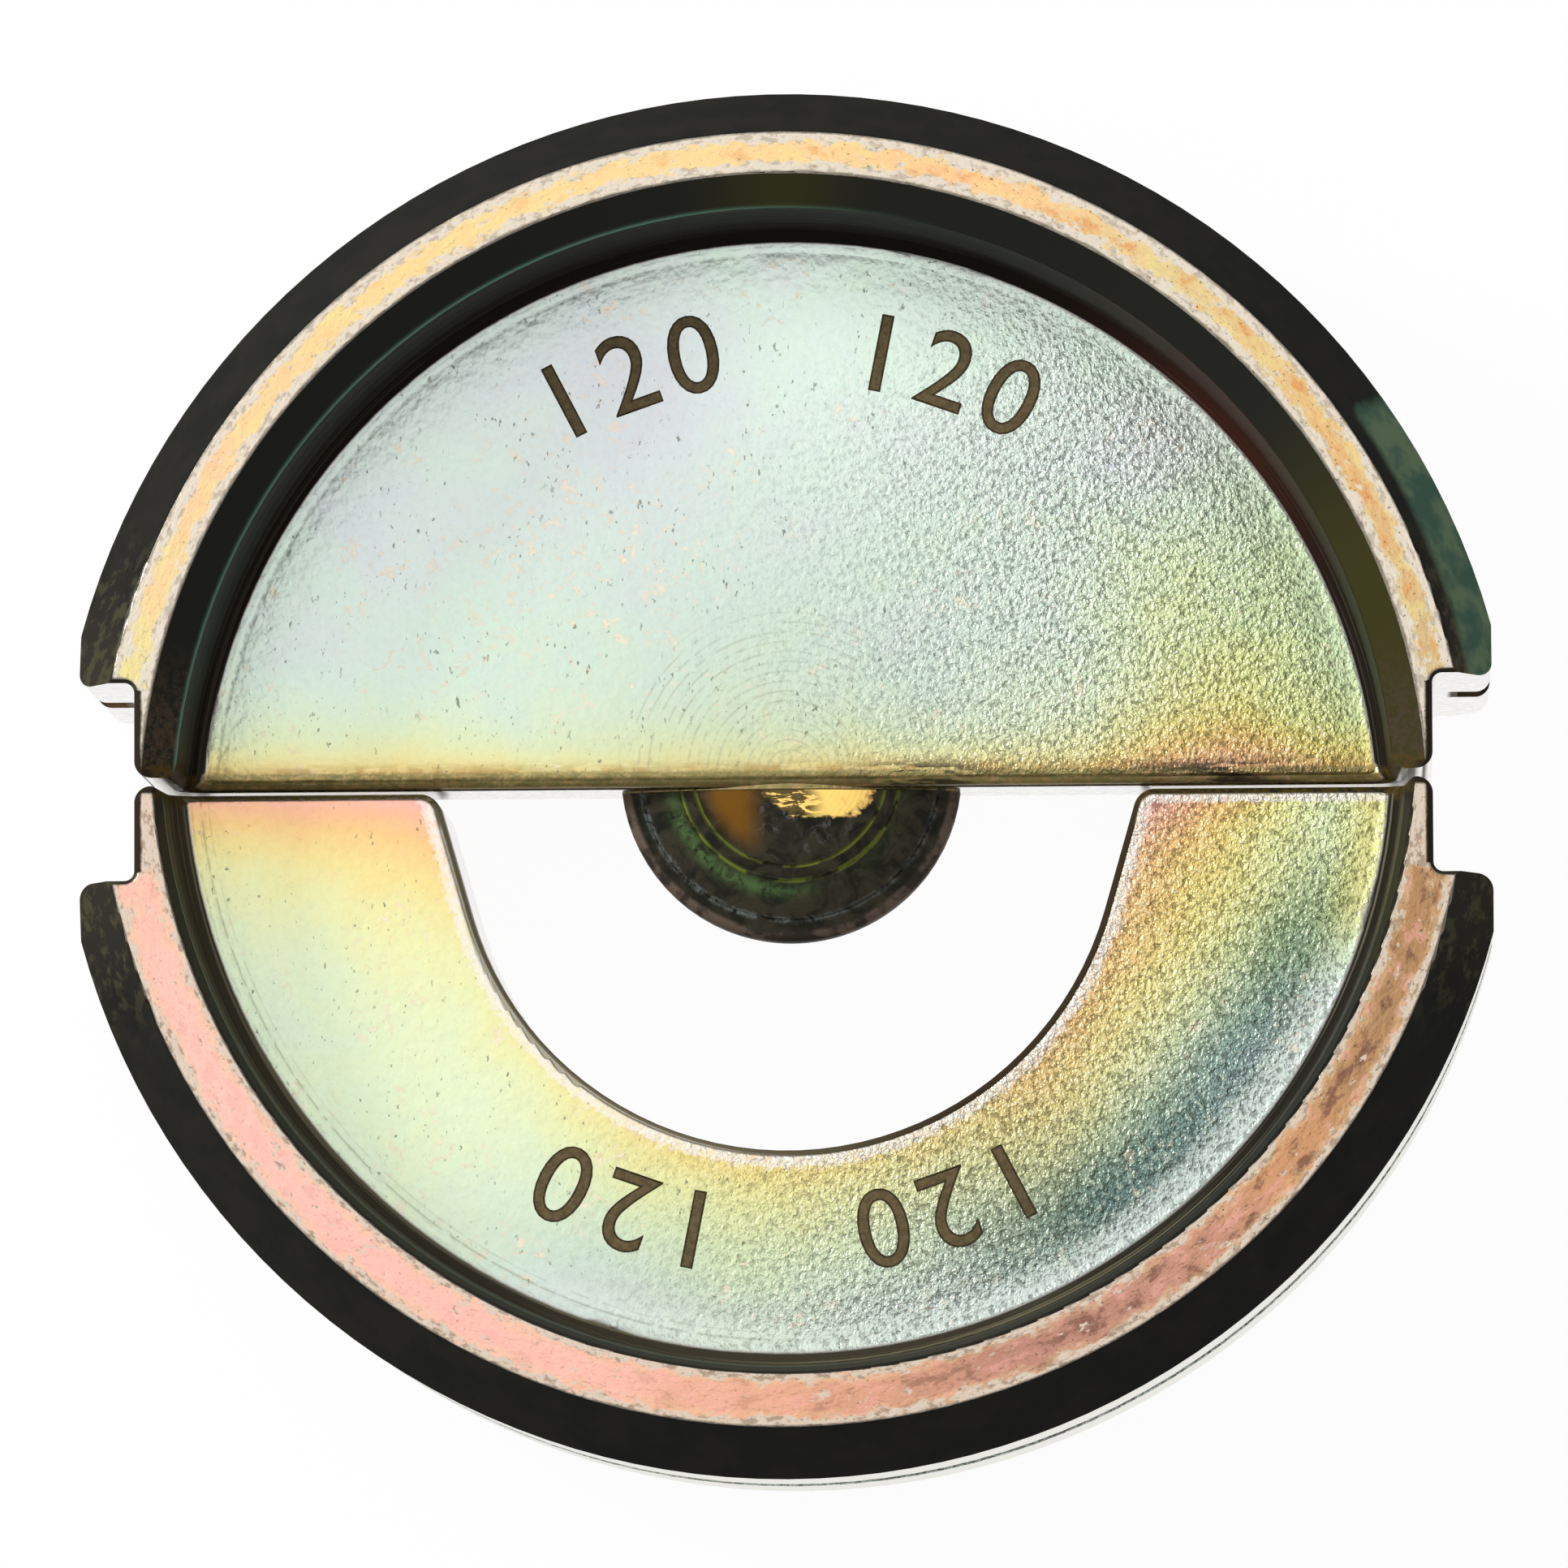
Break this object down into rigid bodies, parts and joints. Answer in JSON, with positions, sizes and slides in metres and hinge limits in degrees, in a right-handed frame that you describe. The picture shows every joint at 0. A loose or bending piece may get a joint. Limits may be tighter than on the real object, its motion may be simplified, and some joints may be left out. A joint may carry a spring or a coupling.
{
  "type": "crimping die",
  "caption": "Two-part crimping die for a hydraulic press head: a domed punch half and an open U-nest half with flanged round backs.",
  "frame": {"origin": "midway between the two parting faces, on the plane of symmetry, in the plane of the rear rim faces that the set lies on", "axes": "+Z along the die's axis, towards the front rim faces; +Y from the nest half to the punch half, the closing direction; +X across the set, along the parting line"},
  "size_m": [0.0426, 0.0418, 0.014],
  "materials": {
    "plated_steel": "yellow-chromated zinc plating on turned steel, worn at the rim",
    "plated_steel_nest": "yellow-chromated zinc plating on turned steel, worn at the rim"
  },
  "bodies": {
    "root": {"punch_half": "plated_steel", "nest_half": "plated_steel_nest"}
  },
  "joints": []
}
